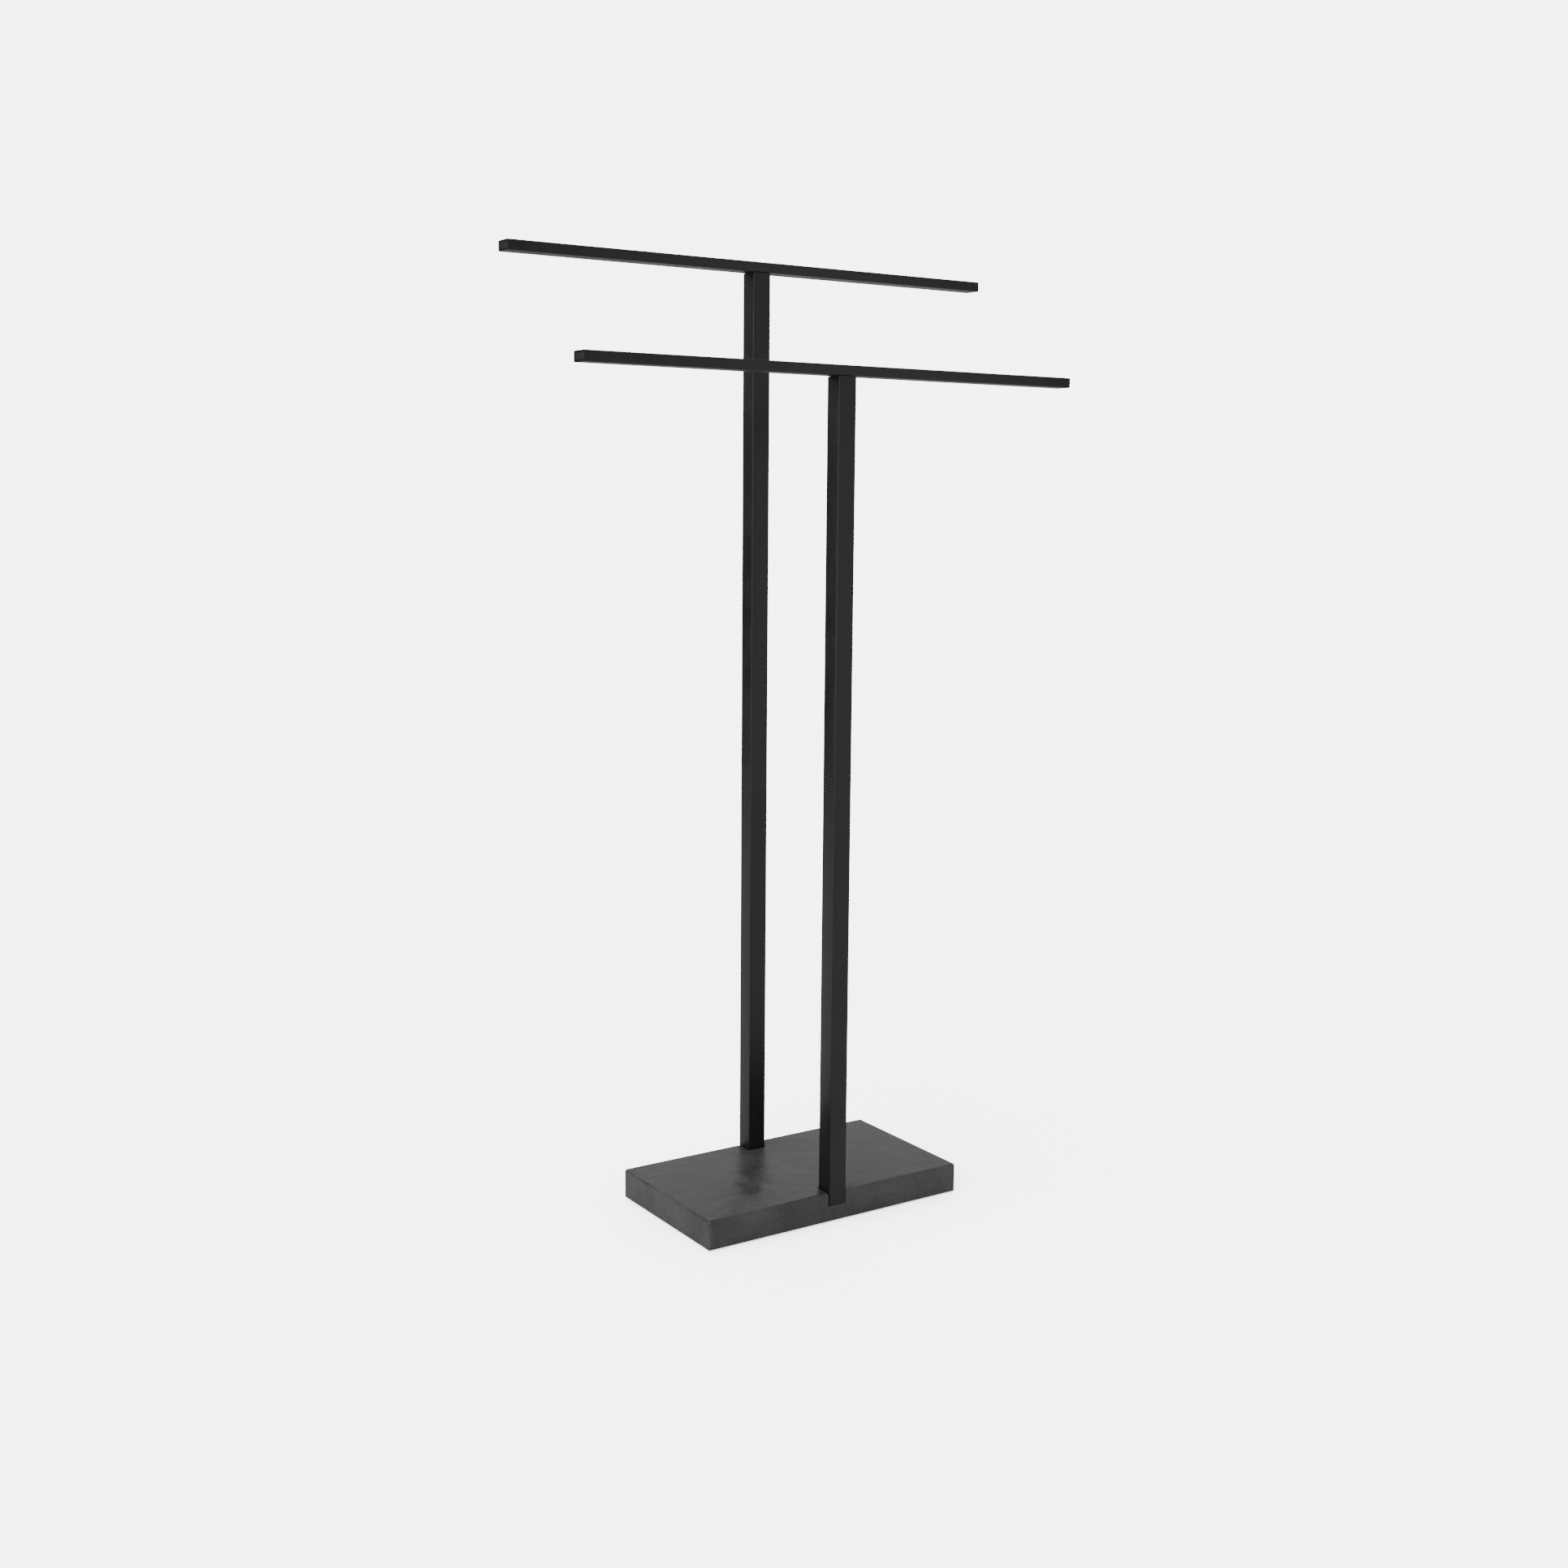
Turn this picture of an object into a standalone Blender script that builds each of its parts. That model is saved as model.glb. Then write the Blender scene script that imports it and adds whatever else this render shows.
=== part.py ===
"""Standing rack with two rails: a stone slab, two square posts and one bar across each post.

Frame: metres, +Z up, origin on the floor at the centre of the footprint. X runs along the bars, and the
lower bar stands on the -Y side. Run it with blender --background --python part.py.
"""
import math

import bmesh
import bpy

OBJECT_NAME = "standing_rack"

# Driving dimensions
UPPER_BAR_TOP = 0.960
LOWER_BAR_TOP = 0.850

BASE_LENGTH = 0.304
BASE_DEPTH = 0.172
BASE_THICKNESS = 0.030
BASE_EDGE_RADIUS = 0.0025
FLOOR_CLEARANCE = 0.0015

POST_SIDE = 0.020
POST_WALL = 0.0015
POST_CORNER_RADIUS = 0.0020
NOTCH_DEPTH = 0.014

BAR_LENGTH = 0.560
BAR_DEPTH = 0.020
BAR_HEIGHT = 0.010
BAR_WALL = 0.0012
BAR_CORNER_RADIUS = 0.0010

GAP = 0.0003

PAD_RADIUS = 0.012
PAD_POCKET = 0.0012
PAD_RIM = 0.0008
PAD_INSET_X = 0.026
PAD_INSET_Y = 0.024

END_PLUG_LENGTH = 0.014
END_PLUG_FACE = 0.003
END_PLUG_WALL = 0.0020

FOOT_PLUG_LENGTH = 0.032
HEAD_PLUG_LENGTH = 0.026
PLUG_CORNER_RADIUS = 0.0008

BASE_SCREW_RADIUS = 0.003
BASE_SCREW_REACH = 0.022
BASE_HEAD_RADIUS = 0.005
BASE_HEAD_HEIGHT = 0.004
BASE_SOCKET_FLATS = 0.004
BASE_SOCKET_DEPTH = 0.002
COUNTERBORE_RADIUS = 0.007
COUNTERBORE_DEPTH = 0.007
WASHER_RADIUS = 0.006
WASHER_THICKNESS = 0.0012

BAR_SCREW_RADIUS = 0.0025
BAR_SCREW_REACH = 0.018
BAR_HEAD_RADIUS = 0.0046
BAR_HEAD_LAND = 0.0013
BAR_SOCKET_FLATS = 0.003
BAR_SOCKET_DEPTH = 0.0018
SPACER_RADIUS = 0.007
SCREW_TIP_CHAMFER = 0.0006

CORNER_STEPS = 4
ROUND_STEPS = 32
HEX_SIDES = 6
CUT_MARGIN = 0.010
MERGE_DISTANCE = 0.00001
SHARP_ANGLE = math.radians(35.0)

# Places worked out from the driving dimensions
BASE_BOTTOM = FLOOR_CLEARANCE
BASE_TOP = BASE_BOTTOM + BASE_THICKNESS
LEDGE_TOP = BASE_TOP - NOTCH_DEPTH
COUNTERBORE_TOP = BASE_BOTTOM + COUNTERBORE_DEPTH
POST_Y = BASE_DEPTH / 2 - POST_SIDE / 2
POST_BOTTOM = LEDGE_TOP + GAP

# Each upright: its name, the name of its bar, its place in Y and the height of its bar's top
UPRIGHTS = (
    ("front_post", "lower_bar", -POST_Y, LOWER_BAR_TOP),
    ("rear_post", "upper_bar", POST_Y, UPPER_BAR_TOP),
)
SIDES = (("left", -1), ("right", 1))
ENDS = (("front", -1), ("rear", 1))


def clear_scene():
    """Remove whatever the scene holds."""
    for item in list(bpy.data.objects):
        bpy.data.objects.remove(item, do_unlink=True)


def new_collection(name):
    """Add a collection to the scene."""
    collection = bpy.data.collections.new(name)
    bpy.context.scene.collection.children.link(collection)
    return collection


clear_scene()
PARTS = new_collection(OBJECT_NAME)
CUTTERS = new_collection("cutters")
ROOT = bpy.data.objects.new(OBJECT_NAME + "_origin", None)
PARTS.objects.link(ROOT)


def paint(name, colour, roughness, metallic):
    """Make a plain Principled material."""
    material = bpy.data.materials.new(name)
    material.use_nodes = True
    shader = material.node_tree.nodes["Principled BSDF"]
    shader.inputs["Base Color"].default_value = (*colour, 1.0)
    shader.inputs["Roughness"].default_value = roughness
    shader.inputs["Metallic"].default_value = metallic
    return material


def dress(item, finish):
    """Give a part a material of its own, after its name."""
    colour, roughness, metallic = finish
    item.data.materials.clear()
    item.data.materials.append(paint(item.name, colour, roughness, metallic))


DARK_STONE = ((0.082, 0.082, 0.082), 0.45, 0.0)
BLACK_POWDER_COAT = ((0.016, 0.016, 0.016), 0.42, 0.0)
BLACK_PLASTIC = ((0.022, 0.022, 0.022), 0.5, 0.0)
BLACK_RUBBER = ((0.015, 0.015, 0.015), 0.85, 0.0)
BLACK_OXIDE_STEEL = ((0.045, 0.045, 0.045), 0.4, 1.0)
PLAIN_ALUMINIUM = ((0.75, 0.75, 0.76), 0.35, 1.0)
ZINC_STEEL = ((0.55, 0.56, 0.58), 0.35, 1.0)


def link_part(name, mesh, finish, location=(0.0, 0.0, 0.0), rotation=(0.0, 0.0, 0.0)):
    """Place a finished mesh as a named part of the object."""
    item = bpy.data.objects.new(name, mesh)
    item.location = location
    item.rotation_euler = rotation
    item.parent = ROOT
    PARTS.objects.link(item)
    dress(item, finish)
    return item


def box_mesh(name, size):
    """Make a box centred on its own origin."""
    mesh = bpy.data.meshes.new(name)
    work = bmesh.new()
    bmesh.ops.create_cube(work, size=1.0)
    bmesh.ops.scale(work, vec=size, verts=work.verts)
    work.to_mesh(mesh)
    work.free()
    return mesh


def prism_mesh(name, radius, height, sides):
    """Make a capped prism or cylinder centred on its own origin."""
    mesh = bpy.data.meshes.new(name)
    work = bmesh.new()
    bmesh.ops.create_cone(work, cap_ends=True, segments=sides, radius1=radius, radius2=radius, depth=height)
    work.to_mesh(mesh)
    work.free()
    return mesh


def circle_outline(radius, steps=ROUND_STEPS):
    """Give the points of a circle."""
    turns = (2 * math.pi * step / steps for step in range(steps))
    return [(radius * math.cos(turn), radius * math.sin(turn)) for turn in turns]


def rounded_outline(width, height, radius, steps=CORNER_STEPS):
    """Give the points of a rectangle with round corners, anticlockwise from the corner at +X +Y."""
    points = []
    corners = ((1, 1), (-1, 1), (-1, -1), (1, -1))
    for quarter, (side_x, side_y) in enumerate(corners):
        centre_x = side_x * (width / 2 - radius)
        centre_y = side_y * (height / 2 - radius)
        for step in range(steps + 1):
            turn = math.pi / 2 * (quarter + step / steps)
            points.append((centre_x + radius * math.cos(turn), centre_y + radius * math.sin(turn)))
    return points


def extruded_mesh(name, outlines, length):
    """Extrude flat outlines along Z, the first as the outside and the rest as holes in it."""
    curve = bpy.data.curves.new(name, "CURVE")
    curve.dimensions = "2D"
    curve.fill_mode = "BOTH"
    curve.extrude = length / 2
    for outline in outlines:
        spline = curve.splines.new("POLY")
        spline.points.add(len(outline) - 1)
        for point, (x, y) in zip(spline.points, outline):
            point.co = (x, y, 0.0, 1.0)
        spline.use_cyclic_u = True
    holder = bpy.data.objects.new(name, curve)
    CUTTERS.objects.link(holder)
    graph = bpy.context.evaluated_depsgraph_get()
    mesh = bpy.data.meshes.new_from_object(holder.evaluated_get(graph))
    bpy.data.objects.remove(holder, do_unlink=True)
    work = bmesh.new()
    work.from_mesh(mesh)
    bmesh.ops.remove_doubles(work, verts=work.verts, dist=MERGE_DISTANCE)
    bmesh.ops.recalc_face_normals(work, faces=work.faces)
    work.to_mesh(mesh)
    work.free()
    mesh.shade_smooth()
    mesh.set_sharp_from_angle(angle=SHARP_ANGLE)
    return mesh


def turned_part(name, profile, finish, location, closed=False):
    """Turn a profile about Z. Its points are (radius, height), down the outer side from top to bottom."""
    mesh = bpy.data.meshes.new(name)
    work = bmesh.new()
    points = [work.verts.new((radius, 0.0, height)) for radius, height in profile]
    pairs = list(zip(points, points[1:]))
    if closed:
        pairs.append((points[-1], points[0]))
    for first, second in pairs:
        work.edges.new((first, second))
    work.to_mesh(mesh)
    work.free()
    item = link_part(name, mesh, finish, location)
    screw = item.modifiers.new("turn", "SCREW")
    screw.axis = "Z"
    screw.steps = ROUND_STEPS
    screw.render_steps = ROUND_STEPS
    screw.use_merge_vertices = True
    screw.merge_threshold = MERGE_DISTANCE
    screw.use_smooth_shade = True
    return item


def cut(target, name, mesh, location):
    """Cut a target with a hidden tool shape."""
    tool = bpy.data.objects.new(name, mesh)
    tool.location = location
    tool.hide_render = True
    tool.display_type = "WIRE"
    CUTTERS.objects.link(tool)
    modifier = target.modifiers.new(name, "BOOLEAN")
    modifier.operation = "DIFFERENCE"
    modifier.solver = "EXACT"
    modifier.object = tool


def hex_socket(target, flats, depth, face_height, inward):
    """Sink a hexagon socket into a screw's head, inward along Z from the height of its face."""
    radius = flats / math.sqrt(3.0)
    height = depth + CUT_MARGIN
    x, y, z = target.location
    middle = z + face_height + inward * (depth - height / 2)
    mesh = prism_mesh(target.name + "_socket", radius, height, HEX_SIDES)
    cut(target, target.name + "_socket_tool", mesh, (x, y, middle))


def build_base():
    """Build the slab, with a notch for each post, a stepped screw hole below it and a pocket for each pad."""
    size = (BASE_LENGTH, BASE_DEPTH, BASE_THICKNESS)
    slab = link_part("base_slab", box_mesh("base_slab", size), DARK_STONE,
                     (0.0, 0.0, BASE_BOTTOM + BASE_THICKNESS / 2))
    rounding = slab.modifiers.new("edges", "BEVEL")
    rounding.width = BASE_EDGE_RADIUS
    rounding.segments = 3
    rounding.limit_method = "ANGLE"
    notch = (POST_SIDE + 2 * GAP, POST_SIDE + GAP + CUT_MARGIN, NOTCH_DEPTH + CUT_MARGIN)
    for end, side in ENDS:
        inner = side * (BASE_DEPTH / 2 - POST_SIDE - GAP)
        middle = (0.0, inner + side * notch[1] / 2, LEDGE_TOP + notch[2] / 2)
        cut(slab, f"notch_{end}", box_mesh(f"notch_{end}", notch), middle)
        hole = prism_mesh(f"screw_hole_{end}", BASE_SCREW_RADIUS + GAP, 2 * BASE_THICKNESS, ROUND_STEPS)
        cut(slab, f"screw_hole_{end}", hole, (0.0, side * POST_Y, BASE_BOTTOM))
        bore_height = COUNTERBORE_DEPTH + CUT_MARGIN
        bore = prism_mesh(f"counterbore_{end}", COUNTERBORE_RADIUS, bore_height, ROUND_STEPS)
        cut(slab, f"counterbore_{end}", bore, (0.0, side * POST_Y, COUNTERBORE_TOP - bore_height / 2))


def build_pads():
    """Build the four rubber pads, each let into a shallow pocket of the slab's underside."""
    slab = bpy.data.objects["base_slab"]
    pocket_height = PAD_POCKET + CUT_MARGIN
    pad_top = BASE_BOTTOM + PAD_POCKET - GAP
    profile = (
        (0.0, pad_top),
        (PAD_RADIUS, pad_top),
        (PAD_RADIUS, PAD_RIM),
        (PAD_RADIUS - PAD_RIM, 0.0),
        (0.0, 0.0),
    )
    for end, side_y in ENDS:
        for side, side_x in SIDES:
            x = side_x * (BASE_LENGTH / 2 - PAD_INSET_X)
            y = side_y * (BASE_DEPTH / 2 - PAD_INSET_Y)
            pocket = prism_mesh(f"pad_pocket_{end}_{side}", PAD_RADIUS + GAP, pocket_height, ROUND_STEPS)
            middle = BASE_BOTTOM + PAD_POCKET - pocket_height / 2
            cut(slab, f"pad_pocket_{end}_{side}", pocket, (x, y, middle))
            turned_part(f"foot_pad_{end}_{side}", profile, BLACK_RUBBER, (x, y, 0.0))


def square_plug(name, length, bore_radius, bottom, y):
    """Build a bored block that fills a post's end and takes a screw."""
    side = POST_SIDE - 2 * POST_WALL - 2 * GAP
    outlines = (rounded_outline(side, side, PLUG_CORNER_RADIUS), circle_outline(bore_radius))
    mesh = extruded_mesh(name, outlines, length)
    link_part(name, mesh, PLAIN_ALUMINIUM, (0.0, y, bottom + length / 2))


def build_post(name, y, bar_top):
    """Build one upright: its tube, the threaded plug in its foot and the one in its head."""
    top = bar_top - BAR_HEIGHT - GAP
    length = top - POST_BOTTOM
    inner = POST_SIDE - 2 * POST_WALL
    inner_radius = POST_CORNER_RADIUS - POST_WALL
    outlines = (
        rounded_outline(POST_SIDE, POST_SIDE, POST_CORNER_RADIUS),
        rounded_outline(inner, inner, inner_radius),
    )
    mesh = extruded_mesh(name, outlines, length)
    link_part(name, mesh, BLACK_POWDER_COAT, (0.0, y, POST_BOTTOM + length / 2))
    square_plug(name + "_foot_plug", FOOT_PLUG_LENGTH, BASE_SCREW_RADIUS + GAP, POST_BOTTOM, y)
    square_plug(name + "_head_plug", HEAD_PLUG_LENGTH, BAR_SCREW_RADIUS + GAP, top - HEAD_PLUG_LENGTH, y)


def build_bar(name, y, top):
    """Build one bar: a flat tube along X, pierced above and below where its screw passes."""
    inner_depth = BAR_DEPTH - 2 * BAR_WALL
    inner_height = BAR_HEIGHT - 2 * BAR_WALL
    outlines = (
        rounded_outline(BAR_HEIGHT, BAR_DEPTH, BAR_CORNER_RADIUS),
        rounded_outline(inner_height, inner_depth, BAR_CORNER_RADIUS / 2),
    )
    middle = top - BAR_HEIGHT / 2
    bar = link_part(name, extruded_mesh(name, outlines, BAR_LENGTH), BLACK_POWDER_COAT,
                    (0.0, y, middle), (0.0, math.pi / 2, 0.0))
    head_hole = prism_mesh(name + "_head_hole", BAR_HEAD_RADIUS + GAP, BAR_HEIGHT, ROUND_STEPS)
    cut(bar, name + "_head_hole", head_hole, (0.0, y, top))
    shank_hole = prism_mesh(name + "_shank_hole", BAR_SCREW_RADIUS + GAP, BAR_HEIGHT, ROUND_STEPS)
    cut(bar, name + "_shank_hole", shank_hole, (0.0, y, top - BAR_HEIGHT))
    for side, direction in SIDES:
        build_end_plug(f"{name}_end_plug_{side}", direction, y, middle)


def build_end_plug(name, direction, y, z):
    """Build the plug that closes one end of a bar, hollow from behind."""
    depth = BAR_DEPTH - 2 * BAR_WALL - 2 * GAP
    height = BAR_HEIGHT - 2 * BAR_WALL - 2 * GAP
    outline = rounded_outline(height, depth, BAR_CORNER_RADIUS / 2)
    outer_face = BAR_LENGTH / 2 - GAP
    mesh = extruded_mesh(name, (outline,), END_PLUG_LENGTH)
    middle = direction * (outer_face - END_PLUG_LENGTH / 2)
    plug = link_part(name, mesh, BLACK_PLASTIC, (middle, y, z), (0.0, math.pi / 2, 0.0))
    hollow_length = END_PLUG_LENGTH - END_PLUG_FACE + CUT_MARGIN
    hollow = (hollow_length, depth - 2 * END_PLUG_WALL, height - 2 * END_PLUG_WALL)
    hollow_middle = direction * (outer_face - END_PLUG_FACE - hollow_length / 2)
    cut(plug, name + "_hollow", box_mesh(name + "_hollow", hollow), (hollow_middle, y, z))


def build_bar_fixing(bar_name, y, top):
    """Build the screw through a bar and the spacer that keeps the bar's walls apart under it."""
    spacer_top = top - BAR_WALL - GAP
    spacer_bottom = top - BAR_HEIGHT + BAR_WALL + GAP
    bore = BAR_SCREW_RADIUS + GAP
    mouth = BAR_HEAD_RADIUS + 2 * GAP
    sink = mouth - bore
    head_top = top - GAP
    cone_top = top - GAP - BAR_HEAD_LAND
    cone_bottom = cone_top - (BAR_HEAD_RADIUS - BAR_SCREW_RADIUS)
    tip = top - BAR_HEIGHT - BAR_SCREW_REACH
    height = spacer_top - spacer_bottom
    ring = (
        (mouth, height),
        (SPACER_RADIUS, height),
        (SPACER_RADIUS, 0.0),
        (bore, 0.0),
        (bore, height - sink),
    )
    turned_part(bar_name + "_spacer", ring, ZINC_STEEL, (0.0, y, spacer_bottom), closed=True)
    profile = (
        (0.0, head_top - tip),
        (BAR_HEAD_RADIUS, head_top - tip),
        (BAR_HEAD_RADIUS, cone_top - tip),
        (BAR_SCREW_RADIUS, cone_bottom - tip),
        (BAR_SCREW_RADIUS, SCREW_TIP_CHAMFER),
        (BAR_SCREW_RADIUS - SCREW_TIP_CHAMFER, 0.0),
        (0.0, 0.0),
    )
    screw = turned_part(bar_name + "_screw", profile, BLACK_OXIDE_STEEL, (0.0, y, tip))
    hex_socket(screw, BAR_SOCKET_FLATS, BAR_SOCKET_DEPTH, head_top - tip, -1)


def build_base_fixing(end, y):
    """Build the screw that holds a post from below the slab, and its washer."""
    washer_top = COUNTERBORE_TOP - GAP
    washer_bottom = washer_top - WASHER_THICKNESS
    bore = BASE_SCREW_RADIUS + GAP
    ring = (
        (bore, WASHER_THICKNESS),
        (WASHER_RADIUS, WASHER_THICKNESS),
        (WASHER_RADIUS, 0.0),
        (bore, 0.0),
    )
    turned_part(f"{end}_base_washer", ring, ZINC_STEEL, (0.0, y, washer_bottom), closed=True)
    head_bottom = washer_bottom - GAP - BASE_HEAD_HEIGHT
    tip = POST_BOTTOM + BASE_SCREW_REACH - head_bottom
    profile = (
        (0.0, tip),
        (BASE_SCREW_RADIUS - SCREW_TIP_CHAMFER, tip),
        (BASE_SCREW_RADIUS, tip - SCREW_TIP_CHAMFER),
        (BASE_SCREW_RADIUS, BASE_HEAD_HEIGHT),
        (BASE_HEAD_RADIUS, BASE_HEAD_HEIGHT),
        (BASE_HEAD_RADIUS, 0.0),
        (0.0, 0.0),
    )
    screw = turned_part(f"{end}_base_screw", profile, ZINC_STEEL, (0.0, y, head_bottom))
    hex_socket(screw, BASE_SOCKET_FLATS, BASE_SOCKET_DEPTH, 0.0, 1)


build_base()
build_pads()
for post_name, bar_name, post_y, bar_top in UPRIGHTS:
    build_post(post_name, post_y, bar_top)
    build_bar(bar_name, post_y, bar_top)
    build_bar_fixing(bar_name, post_y, bar_top)
for end_name, end_side in ENDS:
    build_base_fixing(end_name, end_side * POST_Y)
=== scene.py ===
"""Looks of the two-rail standing rack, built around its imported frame.

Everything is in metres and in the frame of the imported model: X runs along the bars, the lower bar
is on the -Y side, and the floor is at Z = 0. Each sub-assembly is a class that reads its places
from the frame.
"""

from __future__ import annotations

import logging
import math
from collections.abc import Sequence
from dataclasses import dataclass, field
from enum import Enum
from functools import cache
from typing import Any

import bmesh
import bpy
from mathutils import Matrix, Vector


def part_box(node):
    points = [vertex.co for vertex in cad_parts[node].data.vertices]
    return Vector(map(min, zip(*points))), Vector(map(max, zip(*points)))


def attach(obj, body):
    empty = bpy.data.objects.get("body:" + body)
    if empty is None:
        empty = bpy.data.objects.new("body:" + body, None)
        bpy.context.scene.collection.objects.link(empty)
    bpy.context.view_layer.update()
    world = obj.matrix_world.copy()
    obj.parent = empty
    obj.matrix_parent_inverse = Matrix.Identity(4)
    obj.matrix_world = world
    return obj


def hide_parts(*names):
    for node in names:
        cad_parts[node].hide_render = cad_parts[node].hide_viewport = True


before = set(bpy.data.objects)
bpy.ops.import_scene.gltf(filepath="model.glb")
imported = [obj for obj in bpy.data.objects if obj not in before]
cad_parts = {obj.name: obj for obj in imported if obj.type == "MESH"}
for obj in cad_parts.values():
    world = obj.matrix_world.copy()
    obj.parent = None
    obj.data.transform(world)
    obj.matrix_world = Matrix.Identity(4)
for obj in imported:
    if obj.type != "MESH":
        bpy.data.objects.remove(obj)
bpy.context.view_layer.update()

LOG = logging.getLogger("rack")

Item = bpy.types.Object
Tree = bpy.types.NodeTree
Socket = bpy.types.NodeSocket

MM = 0.001
FULL_TURN = 2 * math.pi
SMOOTH_ANGLE = math.radians(32.0)
MERGE_DISTANCE = 0.00001
CUT_MARGIN = 0.01
BROKEN_EDGE = 0.15 * MM
NOISE_MIDDLE = (0.32, 0.68)
TURNED_STEPS = 64
THREAD_STEPS = 20
THREAD_SIDES = 4
RING_STEPS = 48
BEAD_SIDES = 8
VIEW_END = 100.0
BODY = "root"


class Slot(Enum):
    """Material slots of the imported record."""

    STONE = "stone"
    RUBBER = "rubber"
    POWDER_COAT = "powder_coat"
    PLUG_PLASTIC = "plug_plastic"
    PLUG_ALUMINIUM = "plug_aluminium"
    ZINC_STEEL = "zinc_steel"
    BLACK_OXIDE = "black_oxide"


class End(Enum):
    """The two long sides of the slab, with the post and the bar that belong to each."""

    FRONT = ("front", "lower")
    REAR = ("rear", "upper")

    @property
    def word(self) -> str:
        """The side's name as it stands in node names."""
        return self.value[0]

    @property
    def post(self) -> str:
        """Name of this side's post."""
        return f"{self.word}_post"

    @property
    def bar(self) -> str:
        """Name of this side's bar."""
        return f"{self.value[1]}_bar"

    def pad(self, side: Side) -> str:
        """Give the name of the pad in one of this side's corners."""
        return f"foot_pad_{self.word}_{side.word}"


class Side(Enum):
    """The two ends of a bar, with the way that each faces along X."""

    LEFT = -1
    RIGHT = 1

    @property
    def word(self) -> str:
        """The side's name as it stands in node names."""
        return self.name.lower()


class PostPlug(Enum):
    """The two threaded plugs in a post, with the radius of each one's bore."""

    FOOT = 3.3 * MM
    HEAD = 2.8 * MM

    @property
    def word(self) -> str:
        """The plug's place as it stands in node names."""
        return self.name.lower()

    @property
    def bore(self) -> float:
        """Radius of the plug's bore."""
        return self.value


@dataclass(frozen=True)
class Room:
    """The box of one node in the frame.

    Attributes:
        low: Its lowest corner.
        high: Its highest corner.
    """

    low: Vector
    high: Vector

    @classmethod
    def of(cls, node: str) -> Room:
        """Look up a node's box."""
        return cls(*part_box(node))

    @property
    def centre(self) -> Vector:
        """Its middle."""
        return (self.low + self.high) / 2

    @property
    def foot(self) -> Vector:
        """The middle of its lower face."""
        return Vector((self.centre.x, self.centre.y, self.low.z))

    @property
    def under(self) -> Vector:
        """A point below its foot, where a tool can start."""
        return self.foot - Vector((0.0, 0.0, CUT_MARGIN))

    @property
    def width(self) -> float:
        """Its size along X."""
        return self.high.x - self.low.x

    @property
    def depth(self) -> float:
        """Its size along Y."""
        return self.high.y - self.low.y

    @property
    def height(self) -> float:
        """Its size along Z."""
        return self.high.z - self.low.z

    @property
    def radius(self) -> float:
        """The radius of a round piece that fills it."""
        return self.width / 2


# ---- Node trees ---------------------------------------------------------------


def add(
    tree: Tree,
    kind: str,
    settings: dict[str, Any] | None = None,
    inputs: dict[str | int, Any] | None = None,
) -> bpy.types.Node:
    """Add a node with its settings, values and links.

    Args:
        tree: The tree that gets the node.
        kind: The node's type name.
        settings: Properties of the node.
        inputs: Values of its inputs by name or number. A socket is linked, anything else is set.

    Returns:
        The new node.
    """
    node = tree.nodes.new(kind)
    for name, value in (settings or {}).items():
        setattr(node, name, value)
    for key, value in (inputs or {}).items():
        if isinstance(value, Socket):
            tree.links.new(value, node.inputs[key])
        else:
            node.inputs[key].default_value = value
    return node


def linear(code: str) -> tuple[float, float, float, float]:
    """Turn an sRGB hex colour into linear light.

    Args:
        code: The colour as #RRGGBB.

    Returns:
        Red, green, blue and full opacity.
    """
    parts = [int(code[start : start + 2], 16) / 255 for start in (1, 3, 5)]
    red, green, blue = (p / 12.92 if p <= 0.04045 else ((p + 0.055) / 1.055) ** 2.4 for p in parts)
    return red, green, blue, 1.0


def scale_of(size_mm: float) -> float:
    """Give the texture scale at which one feature of a noise is this many millimetres wide."""
    return 1.0 / (size_mm * MM)


# ---- Finishes -----------------------------------------------------------------


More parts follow.
